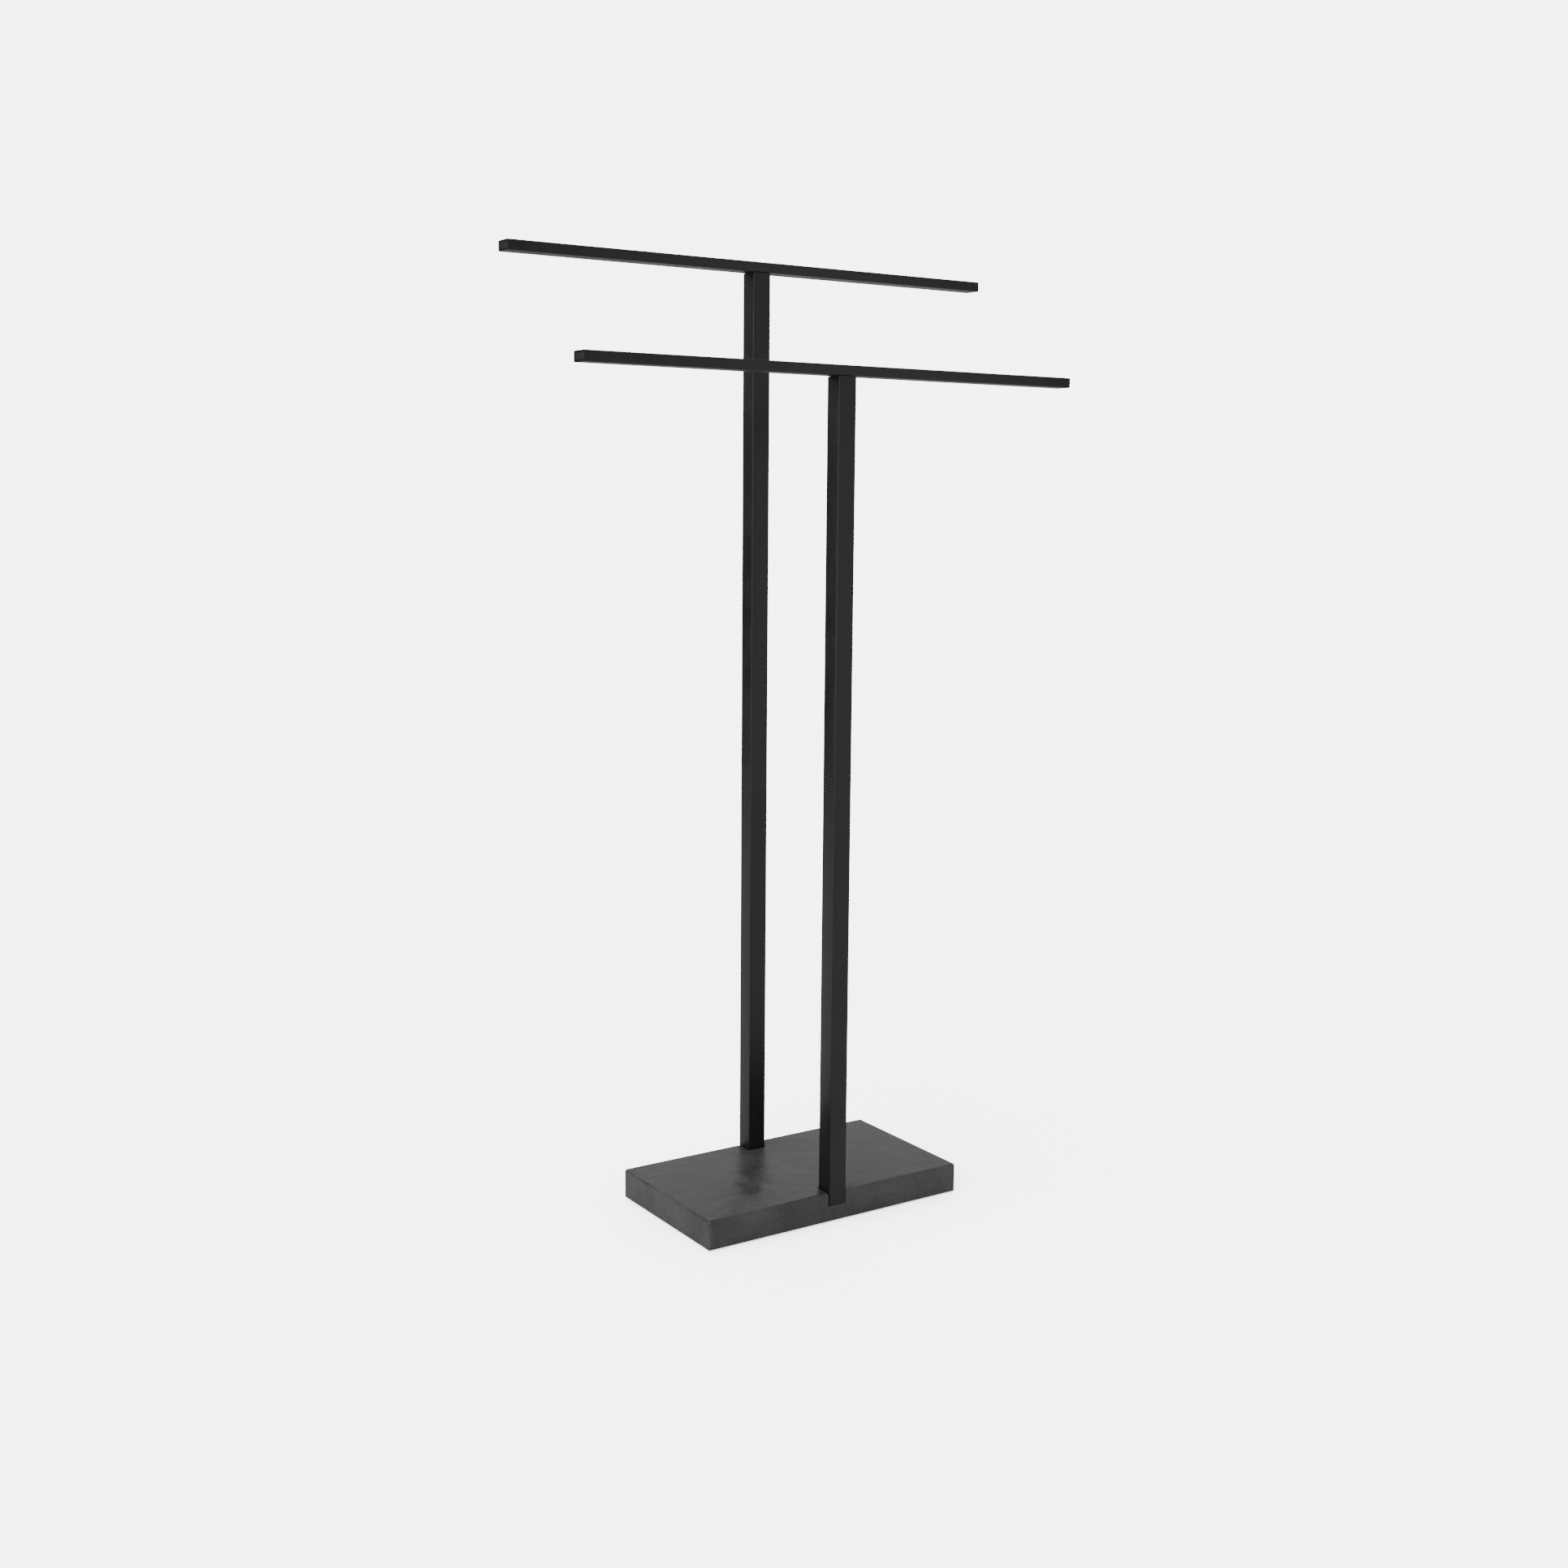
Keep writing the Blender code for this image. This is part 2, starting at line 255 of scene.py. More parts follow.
@dataclass(frozen=True)
class Finish:
    """One surface finish: a colour that drifts between two tones, a roughness and a fine relief.

    Attributes:
        name: The material's name.
        dark: Darker tone, as sRGB hex.
        light: Lighter tone, as sRGB hex.
        drift_mm: Width of the slow change between the tones.
        swirl: How far that change is stirred.
        roughness: Lowest and highest roughness, which drift with the tone.
        metallic: 1 for bare metal.
        specular: Strength of the reflection of a surface that isn't bare metal.
        grain_mm: Width of one bump of the relief.
        relief_mm: Height of the relief.
    """

    name: str
    dark: str
    light: str
    drift_mm: float
    roughness: tuple[float, float]
    swirl: float = 0.0
    metallic: float = 0.0
    specular: float = 0.5
    grain_mm: float = 1.0
    relief_mm: float = 0.01

    def coordinates(self, tree: Tree) -> Socket:
        """Give the socket that this finish's patterns are laid out on."""
        return add(tree, "ShaderNodeTexCoord").outputs["Object"]

    def tone(self, tree: Tree, place: Socket) -> Socket:
        """Give a slow drift from 0 to 1 over the surface.

        Args:
            tree: The material's tree.
            place: Coordinates of the pattern.

        Returns:
            The drift's socket.
        """
        inputs = {
            "Vector": place,
            "Scale": scale_of(self.drift_mm),
            "Detail": 6.0,
            "Roughness": 0.6,
            "Distortion": self.swirl,
        }
        noise = add(tree, "ShaderNodeTexNoise", inputs=inputs)
        low, high = NOISE_MIDDLE
        spread = {"Value": noise.outputs["Fac"], "From Min": low, "From Max": high}
        return add(tree, "ShaderNodeMapRange", inputs=spread).outputs["Result"]

    def colour(self, tree: Tree, place: Socket, tone: Socket) -> Socket:
        """Give the surface's colour, here a mix of the two tones.

        Args:
            tree: The material's tree.
            place: Coordinates of the pattern.
            tone: The slow drift.

        Returns:
            The colour's socket.
        """
        mix = {"Factor": tone, 6: linear(self.dark), 7: linear(self.light)}
        return add(tree, "ShaderNodeMix", {"data_type": "RGBA"}, mix).outputs[2]

    def height(self, tree: Tree, place: Socket) -> Socket:
        """Give the height of the fine relief, from 0 to 1.

        Args:
            tree: The material's tree.
            place: Coordinates of the pattern.

        Returns:
            The height's socket.
        """
        inputs = {"Vector": place, "Scale": scale_of(self.grain_mm), "Detail": 2.0}
        return add(tree, "ShaderNodeTexNoise", inputs=inputs).outputs["Fac"]

    @cache
    def material(self) -> bpy.types.Material:
        """Build the material once.

        Returns:
            The finished material.
        """
        material = bpy.data.materials.new(self.name)
        material.use_nodes = True
        tree = material.node_tree
        shader = tree.nodes["Principled BSDF"]
        place = self.coordinates(tree)
        tone = self.tone(tree, place)
        low, high = self.roughness
        spread = {"Value": tone, "To Min": low, "To Max": high}
        roughness = add(tree, "ShaderNodeMapRange", inputs=spread)
        bump_inputs = {"Height": self.height(tree, place), "Distance": self.relief_mm * MM}
        bump = add(tree, "ShaderNodeBump", inputs=bump_inputs)
        shader.inputs["Metallic"].default_value = self.metallic
        shader.inputs["Specular IOR Level"].default_value = self.specular
        tree.links.new(self.colour(tree, place, tone), shader.inputs["Base Color"])
        tree.links.new(roughness.outputs["Result"], shader.inputs["Roughness"])
        tree.links.new(bump.outputs["Normal"], shader.inputs["Normal"])
        return material


@dataclass(frozen=True)
class HonedStone(Finish):
    """Dark stone, ground flat and sealed: cloudy grey, with fine pale and dark flecks.

    Attributes:
        fleck_mm: Distance between flecks.
        fleck_light: Colour of the pale flecks.
        fleck_dark: Colour of the dark flecks.
        fleck_share: How far the flecks cover the colour below.
        pale_span: Values of the noise between which the pale flecks come up.
        dark_span: Values between which the dark flecks come up, downwards.
        wave_mm: Width of the slight waves that the grinding leaves.
        wave_share: Height of the waves against that of the fine grain.
    """

    fleck_mm: float = 2.4
    fleck_light: str = "#6A6A69"
    fleck_dark: str = "#2E2E2E"
    fleck_share: float = 0.24
    pale_span: tuple[float, float] = (0.50, 0.66)
    dark_span: tuple[float, float] = (0.48, 0.34)
    wave_mm: float = 18.0
    wave_share: float = 22.0

    def height(self, tree: Tree, place: Socket) -> Socket:
        """Lay the fine grain over slight, smooth waves.

        Args:
            tree: The material's tree.
            place: Coordinates of the pattern.

        Returns:
            The height's socket.
        """
        wide = {"Vector": place, "Scale": scale_of(self.wave_mm), "Detail": 0.0, "Distortion": 0.4}
        waves = add(tree, "ShaderNodeTexNoise", inputs=wide).outputs["Fac"]
        sums = {0: waves, 1: self.wave_share, 2: super().height(tree, place)}
        return add(tree, "ShaderNodeMath", {"operation": "MULTIPLY_ADD"}, sums).outputs["Value"]

    def colour(self, tree: Tree, place: Socket, tone: Socket) -> Socket:
        """Lay pale and dark flecks over the clouds.

        Args:
            tree: The material's tree.
            place: Coordinates of the pattern.
            tone: The slow drift.

        Returns:
            The colour's socket.
        """
        colour = super().colour(tree, place, tone)
        grain = {"Vector": place, "Scale": scale_of(self.fleck_mm), "Detail": 5.0, "Roughness": 0.7}
        fleck = add(tree, "ShaderNodeTexNoise", inputs=grain).outputs["Fac"]
        kinds = ((self.fleck_light, self.pale_span), (self.fleck_dark, self.dark_span))
        for code, (low, high) in kinds:
            inputs = {"Value": fleck, "From Min": low, "From Max": high, "To Max": self.fleck_share}
            amount = add(tree, "ShaderNodeMapRange", inputs=inputs).outputs["Result"]
            mix = {"Factor": amount, 6: colour, 7: linear(code)}
            colour = add(tree, "ShaderNodeMix", {"data_type": "RGBA"}, mix).outputs[2]
        return colour


@dataclass(frozen=True)
class DrawnMetal(Finish):
    """Bare metal pushed through a die, with faint lines along Z.

    Attributes:
        stretch: How many times longer than wide the lines are.
    """

    stretch: float = 40.0

    def coordinates(self, tree: Tree) -> Socket:
        """Stretch the patterns along Z, the way that the metal was drawn."""
        place = super().coordinates(tree)
        inputs = {"Vector": place, "Scale": (1.0, 1.0, 1.0 / self.stretch)}
        return add(tree, "ShaderNodeMapping", inputs=inputs).outputs["Vector"]


# Limestone or basalt, honed and sealed: soft dark clouds with a blurred gloss.
HONED_STONE = HonedStone(
    "honed_dark_stone",
    dark="#3F3F3F",
    light="#575757",
    drift_mm=55.0,
    swirl=0.8,
    roughness=(0.29, 0.49),
    grain_mm=1.6,
    relief_mm=0.05,
)
# Polyester powder baked on steel: satin, nearly black. Its orange peel is about 0.6 mm wide and is
# drawn at 1.8 mm, so that it shows as a faint unevenness in the reflections.
POWDER_COAT = Finish(
    "black_powder_coat",
    dark="#1A1A1A",
    light="#222223",
    drift_mm=45.0,
    roughness=(0.32, 0.42),
    grain_mm=1.8,
    relief_mm=0.12,
)
# Injection-moulded polyamide with a spark-eroded skin: a little greyer and duller than the tube.
MOULDED_NYLON = Finish(
    "moulded_black_nylon",
    dark="#202021",
    light="#29292A",
    drift_mm=9.0,
    roughness=(0.46, 0.58),
    grain_mm=0.5,
    relief_mm=0.02,
)
# Moulded elastomer: matt and dusty, almost without gloss.
MOULDED_RUBBER = Finish(
    "moulded_black_rubber",
    dark="#171717",
    light="#222221",
    drift_mm=7.0,
    roughness=(0.78, 0.92),
    specular=0.4,
    grain_mm=0.6,
    relief_mm=0.03,
)
# Extruded aluminium, sawn to length: pale and soft, with faint lines along the draw.
EXTRUDED_ALUMINIUM = DrawnMetal(
    "extruded_aluminium",
    dark="#B4B5B7",
    light="#CCCDCF",
    drift_mm=5.0,
    roughness=(0.30, 0.42),
    metallic=1.0,
    grain_mm=0.4,
    relief_mm=0.01,
)
# Bright zinc on steel: cold grey with a slight cloudiness from the plating bath.
ZINC_PLATE = Finish(
    "bright_zinc_plate",
    dark="#A3A8AD",
    light="#C2C6CA",
    drift_mm=3.0,
    roughness=(0.22, 0.36),
    metallic=1.0,
    grain_mm=0.5,
    relief_mm=0.006,
)
# Black oxide on steel, oiled: dark metal that still mirrors a little.
BLACK_OXIDE = Finish(
    "black_oxide_steel",
    dark="#2B2B2C",
    light="#3A3A3B",
    drift_mm=3.0,
    roughness=(0.32, 0.44),
    metallic=1.0,
    grain_mm=0.5,
    relief_mm=0.006,
)


# ---- Mesh tools ---------------------------------------------------------------


def new_object(name: str, mesh: bpy.types.Mesh) -> Item:
    """Put a mesh in the scene as an object at the origin."""
    item = bpy.data.objects.new(name, mesh)
    bpy.context.scene.collection.objects.link(item)
    return item


def from_bmesh(name: str, work: bmesh.types.BMesh, at: Vector = Vector()) -> Item:
    """Turn a work mesh into an object, with its place in its mesh.

    Args:
        name: The object's name.
        work: The mesh, which is freed.
        at: Where its own origin goes.

    Returns:
        The new object.
    """
    bmesh.ops.translate(work, verts=work.verts, vec=at)
    mesh = bpy.data.meshes.new(name)
    work.to_mesh(mesh)
    work.free()
    return new_object(name, mesh)


def settle(item: Item) -> Item:
    """Bake an object's modifiers into a plain mesh.

    Args:
        item: The object with live modifiers.

    Returns:
        The same object, with none.
    """
    graph = bpy.context.evaluated_depsgraph_get()
    mesh = bpy.data.meshes.new_from_object(item.evaluated_get(graph))
    item.modifiers.clear()
    item.data = mesh
    return item


def soften(item: Item, radius: float, segments: int = 2) -> Item:
    """Round an object's sharp edges, then bake the result.

    Args:
        item: The object.
        radius: Radius of the rounding.
        segments: Steps across it.

    Returns:
        The same object.
    """
    bevel = item.modifiers.new("edges", "BEVEL")
    bevel.width = radius
    bevel.segments = segments
    bevel.limit_method = "ANGLE"
    bevel.angle_limit = SMOOTH_ANGLE
    bevel.use_clamp_overlap = True
    return settle(item)


def cut(item: Item, tool: Item) -> Item:
    """Cut a shape out of an object and remove the tool.

    Args:
        item: The object that is cut.
        tool: The shape that is taken away.

    Returns:
        The cut object.
    """
    modifier = item.modifiers.new("cut", "BOOLEAN")
    modifier.operation = "DIFFERENCE"
    modifier.solver = "EXACT"
    modifier.object = tool
    settle(item)
    bpy.data.objects.remove(tool, do_unlink=True)
    return item


def box_between(name: str, low: Vector, high: Vector) -> Item:
    """Make a box from its lowest and highest corners.

    Args:
        name: The object's name.
        low: Lowest corner.
        high: Highest corner.

    Returns:
        The box.
    """
    work = bmesh.new()
    bmesh.ops.create_cube(work, size=1.0)
    bmesh.ops.scale(work, verts=work.verts, vec=high - low)
    return from_bmesh(name, work, (low + high) / 2)


def prism(name: str, radius: float, low: Vector, height: float, sides: int = 48) -> Item:
    """Make an upright prism or cylinder.

    Args:
        name: The object's name.
        radius: Radius of its corners.
        low: Centre of its lower face.
        height: Its height.
        sides: Number of its sides.

    Returns:
        The prism.
    """
    work = bmesh.new()
    bmesh.ops.create_cone(
        work, cap_ends=True, segments=sides, radius1=radius, radius2=radius, depth=height
    )
    return from_bmesh(name, work, low + Vector((0.0, 0.0, height / 2)))


def turned(
    name: str, profile: Sequence[tuple[float, float]], at: Vector, closed: bool = False
) -> Item:
    """Turn a profile about Z.

    Args:
        name: The object's name.
        profile: Points as radius and height.
        at: Where the profile's origin goes.
        closed: True for a ring, whose last point joins its first.

    Returns:
        The closed solid.
    """
    work = bmesh.new()
    points = [work.verts.new((radius, 0.0, height)) for radius, height in profile]
    pairs = list(zip(points, points[1:]))
    if closed:
        pairs.append((points[-1], points[0]))
    edges = [work.edges.new(pair) for pair in pairs]
    bmesh.ops.spin(
        work,
        geom=points + edges,
        axis=(0, 0, 1),
        cent=(0, 0, 0),
        steps=TURNED_STEPS,
        angle=FULL_TURN,
    )
    bmesh.ops.remove_doubles(work, verts=work.verts, dist=MERGE_DISTANCE)
    bmesh.ops.recalc_face_normals(work, faces=work.faces)
    return from_bmesh(name, work, at)


def joined(item: Item, other: Item) -> Item:
    """Add a second object's mesh to the first and remove the second.

    Args:
        item: The object that is kept.
        other: The object that goes into it.

    Returns:
        The kept object.
    """
    work = bmesh.new()
    work.from_mesh(item.data)
    work.from_mesh(other.data)
    work.to_mesh(item.data)
    work.free()
    bpy.data.objects.remove(other, do_unlink=True)
    return item


def publish(item: Item, finish: Finish, node: str) -> Item:
    """Dress a finished piece, and let it ride and stand for its node.

    Args:
        item: The piece.
        finish: Its finish.
        node: The node that it replaces.

    Returns:
        The piece.
    """
    item.data.materials.clear()
    item.data.materials.append(finish.material())
    item.data.shade_smooth()
    item.data.set_sharp_from_angle(angle=SMOOTH_ANGLE)
    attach(item, BODY)
    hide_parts(node)
    LOG.info("%s: %d faces, %s", item.name, len(item.data.polygons), finish.name)
    return item


# ---- Geometry Nodes -----------------------------------------------------------


class Recipe:
    """A Geometry Nodes tree with named sizes, which makes one plain mesh each time it is run."""

    def __init__(self, name: str, sizes: dict[str, str]) -> None:
        """Start the tree.

        Args:
            name: The tree's name.
            sizes: Names of its inputs, each with its socket type.
        """
        self.tree = bpy.data.node_groups.new(name, "GeometryNodeTree")
        self.sockets: dict[str, str] = {}
        for label, kind in {**sizes, "Finish": "NodeSocketMaterial"}.items():
            socket = self.tree.interface.new_socket(label, in_out="INPUT", socket_type=kind)
            self.sockets[label] = socket.identifier
        result = {"in_out": "OUTPUT", "socket_type": "NodeSocketGeometry"}
        self.tree.interface.new_socket("Geometry", **result)
        self.inputs = add(self.tree, "NodeGroupInput").outputs

    def add(
        self, kind: str, settings: dict[str, Any] | None = None, **inputs: Any
    ) -> bpy.types.Node:
        """Add a node, with an underscore in place of each space in its inputs' names."""
        named = {key.replace("_", " "): value for key, value in inputs.items()}
        return add(self.tree, kind, settings, named)

    def maths(self, operation: str, first: Any, second: Any) -> Socket:
        """Give the result of one sum."""
        node = add(self.tree, "ShaderNodeMath", {"operation": operation}, {0: first, 1: second})
        return node.outputs["Value"]

    def close(self, geometry: Socket) -> Recipe:
        """End the tree with real geometry that wears its finish.

        Args:
            geometry: What the tree has made.

        Returns:
            This recipe.
        """
        real = self.add("GeometryNodeRealizeInstances", Geometry=geometry).outputs["Geometry"]
        dressed = self.add("GeometryNodeSetMaterial", Geometry=real, Material=self.inputs["Finish"])
        self.add("NodeGroupOutput", Geometry=dressed.outputs["Geometry"])
        return self

    def run(self, name: str, finish: Finish, place: Matrix, **sizes: float) -> Item:
        """Make one piece.

        Args:
            name: The piece's name.
            finish: What it wears.
            place: Where it goes.
            sizes: Values of the named inputs, with an underscore in place of each space.

        Returns:
            The piece as a plain mesh, with its place in its mesh.
        """
        item = new_object(name, bpy.data.meshes.new(name))
        modifier = item.modifiers.new("recipe", "NODES")
        modifier.node_group = self.tree
        modifier[self.sockets["Finish"]] = finish.material()
        for key, value in sizes.items():
            modifier[self.sockets[key.replace("_", " ")]] = value
        settle(item)
        work = bmesh.new()
        work.from_mesh(item.data)
        bmesh.ops.remove_doubles(work, verts=work.verts, dist=MERGE_DISTANCE)
        bmesh.ops.transform(work, matrix=place, verts=work.verts)
        bmesh.ops.recalc_face_normals(work, faces=work.faces)
        work.to_mesh(item.data)
        work.free()
        return item


def rounded_rectangle(recipe: Recipe, width: Any, depth: Any, radius: Any, steps: Any) -> Socket:
    """Add the outline of a rectangle with round corners to a tree.

    Args:
        recipe: The tree.
        width: Its size along X.
        depth: Its size along Y.
        radius: Radius of its corners.
        steps: Points along each corner.

    Returns:
        The outline's socket.
    """
    plain = recipe.add("GeometryNodeCurvePrimitiveQuadrilateral", Width=width, Height=depth)
    fillet = recipe.add(
        "GeometryNodeFilletCurve",
        {"mode": "POLY"},
        Curve=plain.outputs["Curve"],
        Count=steps,
        Radius=radius,
    )
    return fillet.outputs["Curve"]


@cache
def tube_recipe() -> Recipe:
    """Build the tree of an open square tube along Z.

    Its wall is the area between two rounded outlines, drawn out to the tube's length.

    Returns:
        The recipe, with inputs Width, Depth, Length, Wall, Corner, Inner Corner and Corner Steps.
    """
    lengths = ("Width", "Depth", "Length", "Wall", "Corner", "Inner Corner")
    sizes = {label: "NodeSocketFloat" for label in lengths}
    recipe = Recipe("square_tube", {**sizes, "Corner Steps": "NodeSocketInt"})
    given = recipe.inputs
    both_walls = recipe.maths("MULTIPLY", given["Wall"], 2.0)
    inner_width = recipe.maths("SUBTRACT", given["Width"], both_walls)
    inner_depth = recipe.maths("SUBTRACT", given["Depth"], both_walls)
    steps = given["Corner Steps"]
    outer = rounded_rectangle(recipe, given["Width"], given["Depth"], given["Corner"], steps)
    inner = rounded_rectangle(recipe, inner_width, inner_depth, given["Inner Corner"], steps)
    outlines = recipe.add("GeometryNodeJoinGeometry")
    for outline in (outer, inner):
        recipe.tree.links.new(outline, outlines.inputs["Geometry"])
    filled = recipe.add("GeometryNodeFillCurve", Curve=outlines.outputs["Geometry"])
    section = filled.outputs["Mesh"]
    along = recipe.add("ShaderNodeCombineXYZ", Z=given["Length"]).outputs["Vector"]
    wall = recipe.add(
        "GeometryNodeExtrudeMesh", {"mode": "FACES"}, Mesh=section, Offset=along, Individual=False
    )
    foot = recipe.add("GeometryNodeFlipFaces", Mesh=section)
    whole = recipe.add("GeometryNodeJoinGeometry")
    for part in (wall, foot):
        recipe.tree.links.new(part.outputs["Mesh"], whole.inputs["Geometry"])
    welded = recipe.add(
        "GeometryNodeMergeByDistance", Geometry=whole.outputs["Geometry"], Distance=MERGE_DISTANCE
    )
    return recipe.close(welded.outputs["Geometry"])


@cache
def thread_recipe() -> Recipe:
    """Build the tree of a screw thread: a sharp ridge that climbs round the shank.

    Returns:
        The recipe, with inputs Radius, Length, Pitch and Ridge.
    """
    sizes = {label: "NodeSocketFloat" for label in ("Radius", "Length", "Pitch", "Ridge")}
    recipe = Recipe("screw_thread", sizes)
    given = recipe.inputs
    turns = recipe.maths("DIVIDE", given["Length"], given["Pitch"])
    helix = recipe.add(
        "GeometryNodeCurveSpiral",
        Resolution=THREAD_STEPS,
        Rotations=turns,
        Start_Radius=given["Radius"],
        End_Radius=given["Radius"],
        Height=given["Length"],
    )
    ridge = recipe.add(
        "GeometryNodeCurvePrimitiveCircle", Resolution=THREAD_SIDES, Radius=given["Ridge"]
    )
    thread = recipe.add(
        "GeometryNodeCurveToMesh",
        Curve=helix.outputs["Curve"],
        Profile_Curve=ridge.outputs["Curve"],
        Fill_Caps=True,
    )
    return recipe.close(thread.outputs["Mesh"])


@cache
def rib_recipe() -> Recipe:
    """Build the tree of a row of ribs along X, such as the fins that hold a plug in a tube.

    Returns:
        The recipe, with inputs Count, Pitch, Thickness, Depth and Height.
    """
    sizes = {label: "NodeSocketFloat" for label in ("Pitch", "Thickness", "Depth", "Height")}
    recipe = Recipe("plug_ribs", {"Count": "NodeSocketInt", **sizes})
    given = recipe.inputs
    step = recipe.add("ShaderNodeCombineXYZ", X=given["Pitch"]).outputs["Vector"]
    row = recipe.add("GeometryNodeMeshLine", {"mode": "OFFSET"}, Count=given["Count"], Offset=step)
    size = recipe.add(
        "ShaderNodeCombineXYZ", X=given["Thickness"], Y=given["Depth"], Z=given["Height"]
    )
    rib = recipe.add("GeometryNodeMeshCube", Size=size.outputs["Vector"])
    ribs = recipe.add(
        "GeometryNodeInstanceOnPoints", Points=row.outputs["Mesh"], Instance=rib.outputs["Mesh"]
    )
    return recipe.close(ribs.outputs["Instances"])


@cache
def ring_recipe() -> Recipe:
    """Build the tree of concentric rings, such as the grip on a pad's underside.

    Returns:
        The recipe, with inputs Count, Pitch and Thickness.
    """
    sizes = {"Count": "NodeSocketInt", "Pitch": "NodeSocketFloat", "Thickness": "NodeSocketFloat"}
    recipe = Recipe("grip_rings", sizes)
    given = recipe.inputs
    places = recipe.add(
        "GeometryNodeMeshLine", {"mode": "OFFSET"}, Count=given["Count"], Offset=(0, 0, 0)
    )
    circle = recipe.add("GeometryNodeCurvePrimitiveCircle", Resolution=RING_STEPS, Radius=1.0)
    number = recipe.maths("ADD", recipe.add("GeometryNodeInputIndex").outputs["Index"], 1.0)
    radius = recipe.maths("MULTIPLY", number, given["Pitch"])
    size = recipe.add("ShaderNodeCombineXYZ", X=radius, Y=radius, Z=1.0).outputs["Vector"]
    circles = recipe.add(
        "GeometryNodeInstanceOnPoints",
        Points=places.outputs["Mesh"],
        Instance=circle.outputs["Curve"],
        Scale=size,
    )
    lines = recipe.add("GeometryNodeRealizeInstances", Geometry=circles.outputs["Instances"])
    bead = recipe.add(
        "GeometryNodeCurvePrimitiveCircle", Resolution=BEAD_SIDES, Radius=given["Thickness"]
    )
    rings = recipe.add(
        "GeometryNodeCurveToMesh",
        Curve=lines.outputs["Geometry"],
        Profile_Curve=bead.outputs["Curve"],
    )
    return recipe.close(rings.outputs["Mesh"])


# ---- Sub-assemblies -----------------------------------------------------------


@dataclass
class Slab:
    """The stone slab, with a notch for each post and holes and pockets below.

    Attributes:
        edge_radius: Rounding of its upper edges and upright corners.
        foot_radius: Rounding of its lower edges.
        rim_radius: Rounding of the rims of the notches.
        ledge_radius: Rounding of the front edge of the ledge in a notch.
        hole_radius: Rounding of the rims of the holes and pockets below.
        edge_steps: Steps across a rounding.
        clearance: Gap round what is let into it.
        counterbore_radius: Radius of the wide hole that hides a screw's head.
        shank_share: A screw's shank against its head.
    """

    edge_radius: float = 3.0 * MM
    foot_radius: float = 0.8 * MM
    rim_radius: float = 2.2 * MM
    ledge_radius: float = 0.8 * MM
    hole_radius: float = 0.25 * MM
    edge_steps: int = 6
    clearance: float = 0.3 * MM
    counterbore_radius: float = 7.0 * MM
    shank_share: float = 0.6

    def build(self) -> Item:
        """Shape the slab, cut everything that is let into it, and round its edges.

        Returns:
            The finished piece.
        """
        room = Room.of("base_slab")
        slab = box_between("slab", room.low, room.high)
        for end in End:
            self.cut_notch(slab, end)
            self.cut_screw_hole(slab, end, room.low.z - CUT_MARGIN)
            for side in Side:
                self.cut_pad_pocket(slab, end.pad(side))
        self.round_edges(slab, room)
        return publish(slab, HONED_STONE, "base_slab")

    def round_edges(self, slab: Item, room: Room) -> None:
        """Round each outward edge by the radius of its kind.

        Args:
            slab: The cut slab.
            room: Its box.
        """
        work = bmesh.new()
        work.from_mesh(slab.data)
        bmesh.ops.remove_doubles(work, verts=work.verts, dist=MERGE_DISTANCE)
        weight = work.edges.layers.float.new("bevel_weight_edge")
        for edge in work.edges:
            if edge.is_convex and edge.calc_face_angle(0.0) > SMOOTH_ANGLE:
                edge[weight] = self.radius_of(edge, room) / self.edge_radius
        work.to_mesh(slab.data)
        work.free()
        bevel = slab.modifiers.new("edges", "BEVEL")
        bevel.width = self.edge_radius
        bevel.segments = self.edge_steps
        bevel.limit_method = "WEIGHT"
        bevel.use_clamp_overlap = False
        settle(slab)

    def radius_of(self, edge: bmesh.types.BMEdge, room: Room) -> float:
        """Choose an edge's radius from the slab's faces that it lies in.

        Args:
            edge: The edge.
            room: The slab's box.

        Returns:
            The radius, or 0 for an edge inside a hole.
        """
        low, high = room.low, room.high
        ends = [vertex.co for vertex in edge.verts]
        faces = [
            (axis, value)
            for axis in range(3)
            for value in (low[axis], high[axis])
            if all(abs(point[axis] - value) < MERGE_DISTANCE for point in ends)
        ]
        below = (2, low.z) in faces
        if len(faces) > 1:
            return self.foot_radius if below else self.edge_radius
        if not faces:
            return 0.0
        if below:
            return self.hole_radius
        first, second = (point.z for point in ends)
        level = abs(first - second) < MERGE_DISTANCE and first < high.z - MERGE_DISTANCE
        return self.ledge_radius if level else self.rim_radius

    def cut_notch(self, slab: Item, end: End) -> None:
        """Cut the notch that a post stands in, open to its side of the slab.

        Args:
            slab: The slab.
            end: The post's side of it.
        """
        room = Room.of(end.post)
        gap = Vector((self.clearance, self.clearance, self.clearance))
        low, high = room.low - gap, room.high + gap
        if end is End.FRONT:
            low.y -= CUT_MARGIN
        else:
            high.y += CUT_MARGIN
        cut(slab, box_between("notch", low, high))

    def cut_screw_hole(self, slab: Item, end: End, start: float) -> None:
        """Cut the hole for a post's screw, wider below for its head and washer.

        Args:
            slab: The slab.
            end: The post's side of it.
            start: Height at which the tools start, below the slab.
        """
        screw = Room.of(f"{end.word}_base_screw")
        under = Vector((screw.centre.x, screw.centre.y, start))
        shank_radius = screw.radius * self.shank_share + self.clearance
        cut(slab, prism("shank_hole", shank_radius, under, screw.high.z - under.z))
        depth = Room.of(f"{end.word}_base_washer").high.z + self.clearance - under.z
        cut(slab, prism("counterbore", self.counterbore_radius, under, depth))

    def cut_pad_pocket(self, slab: Item, pad: str) -> None:
        """Cut the shallow pocket that a pad is glued into.

        Args:
            slab: The slab.
            pad: The pad's node.
        """
        room = Room.of(pad)
        depth = room.high.z + self.clearance - room.under.z
        cut(slab, prism("pad_pocket", room.radius + self.clearance, room.under, depth))


